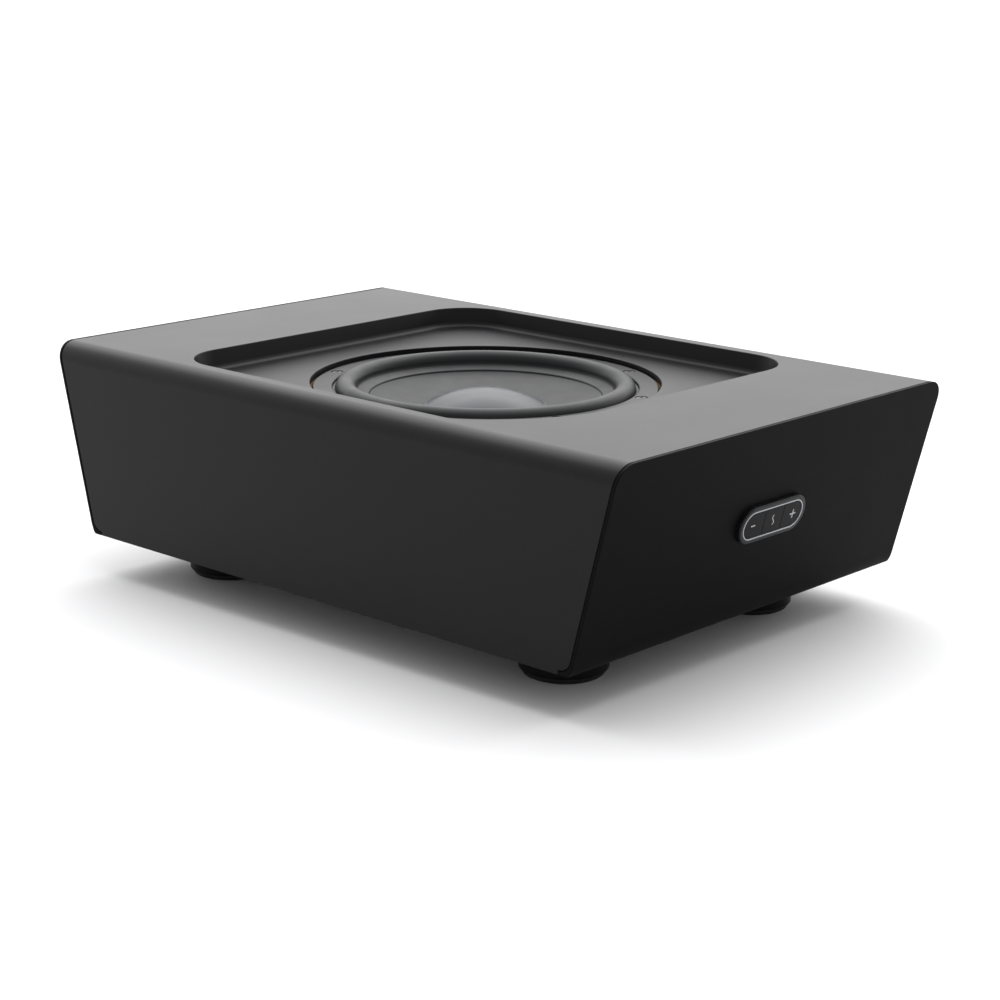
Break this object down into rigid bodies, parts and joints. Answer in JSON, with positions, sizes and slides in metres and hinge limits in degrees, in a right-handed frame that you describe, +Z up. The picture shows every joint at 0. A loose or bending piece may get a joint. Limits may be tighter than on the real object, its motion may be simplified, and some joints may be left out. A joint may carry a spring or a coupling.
{
  "type": "subwoofer",
  "caption": "Low, wide powered subwoofer with leaning ends, an up-firing woofer in a shallow top recess, a key pod on one end and four feet.",
  "frame": {"origin": "centre of the cabinet on the floor, between the four feet", "axes": "+X along the length, towards the end with the key pod; +Y towards the back; +Z up"},
  "size_m": [0.55, 0.356, 0.173],
  "materials": {
    "sleeve_satin": "satin charcoal lacquer",
    "cap_black": "matte black",
    "base_plastic": "fine texture",
    "board_mdf": "raw board",
    "screw_black": "black oxide",
    "screw_zinc": "zinc plated",
    "foot_plastic": "matte black",
    "foot_rubber": "matte black",
    "gasket_foam": "closed-cell foam",
    "basket_cast": "black powder coat",
    "trim_plastic": "satin charcoal",
    "roll_rubber": "smooth matte",
    "cone_poly": "satin",
    "dust_cap_poly": "satin",
    "former_film": "amber film",
    "coil_copper": "enamelled copper wire",
    "spider_cloth": "resin-dipped weave",
    "motor_steel": "zinc plated",
    "magnet_ferrite": "sintered",
    "terminal_brass": "plated",
    "lead_copper": "braided",
    "bezel_black": "satin black",
    "ring_silver": "satin",
    "key_black": "smooth black",
    "switch_plastic": "moulded",
    "circuit_board": "solder mask",
    "tray_black": "matte black",
    "inlet_black": "moulded",
    "pin_nickel": "nickel plated",
    "jack_gold": "gold plated",
    "lens_clear": "clear",
    "heatsink_black": "black anodised",
    "winding_copper": "enamelled wire",
    "capacitor_sleeve": "shrink sleeve",
    "transformer_core": "taped ferrite",
    "shield_tin": "tinned",
    "standoff_brass": "plated",
    "wire_red": "insulated",
    "wire_black": "insulated",
    "wadding_felt": "polyester felt"
  },
  "bodies": {
    "cabinet": {"cabinet_sleeve": "sleeve_satin", "right_end_cap": "cap_black", "left_end_cap": "cap_black", "bottom_plate": "base_plastic", "driver_baffle": "board_mdf", "brace_left": "board_mdf", "brace_right": "board_mdf", "end_cap_screws": "screw_black", "bottom_plate_screws": "screw_black", "foot_bodies": "foot_plastic", "foot_pads": "foot_rubber", "foot_screws": "screw_zinc", "driver_gasket": "gasket_foam", "driver_basket": "basket_cast", "driver_trim_ring": "trim_plastic", "driver_screws": "screw_black", "surround": "roll_rubber", "spider": "spider_cloth", "top_plate": "motor_steel", "magnet": "magnet_ferrite", "pole_yoke": "motor_steel", "driver_terminals": "terminal_brass", "tinsel_leads": "lead_copper", "control_bezel": "bezel_black", "control_ring": "ring_silver", "key_switches": "switch_plastic", "control_board": "circuit_board", "control_board_screws": "screw_zinc", "connector_tray": "tray_black", "mains_inlet": "inlet_black", "mains_pins": "pin_nickel", "line_in_jacks": "jack_gold", "jack_insulators": "inlet_black", "status_lens": "lens_clear", "amp_board": "circuit_board", "amp_heatsink": "heatsink_black", "amp_coils": "winding_copper", "amp_capacitors": "capacitor_sleeve", "supply_board": "circuit_board", "supply_transformer": "transformer_core", "supply_capacitors": "capacitor_sleeve", "wireless_module": "shield_tin", "board_standoffs": "standoff_brass", "board_screws": "screw_zinc", "speaker_wires": "wire_red", "control_cable": "wire_black", "wadding": "wadding_felt"},
    "moving_cone": {"cone": "cone_poly", "dust_cap": "dust_cap_poly", "coil_former": "former_film", "voice_coil": "coil_copper"},
    "volume_down": {"volume_down_key": "key_black"},
    "action": {"action_key": "key_black"},
    "volume_up": {"volume_up_key": "key_black"}
  },
  "joints": [
    {"name": "cone_stroke", "type": "slide", "parent": "cabinet", "child": "moving_cone", "axis": [0, 0, 1], "range_m": [-0.008, 0.008], "stiffness_N_per_m": 4200, "springref_m": 0.00025, "deforming": ["surround", "spider", "tinsel_leads"]},
    {"name": "volume_down_press", "type": "slide", "parent": "cabinet", "child": "volume_down", "axis": [-0.9681, 0, 0.2504], "range_m": [0, 0.0005], "stiffness_N_per_m": 900, "springref_m": -0.0004},
    {"name": "action_press", "type": "slide", "parent": "cabinet", "child": "action", "axis": [-0.9681, 0, 0.2504], "range_m": [0, 0.0005], "stiffness_N_per_m": 900, "springref_m": -0.0004},
    {"name": "volume_up_press", "type": "slide", "parent": "cabinet", "child": "volume_up", "axis": [-0.9681, 0, 0.2504], "range_m": [0, 0.0005], "stiffness_N_per_m": 900, "springref_m": -0.0004}
  ]
}
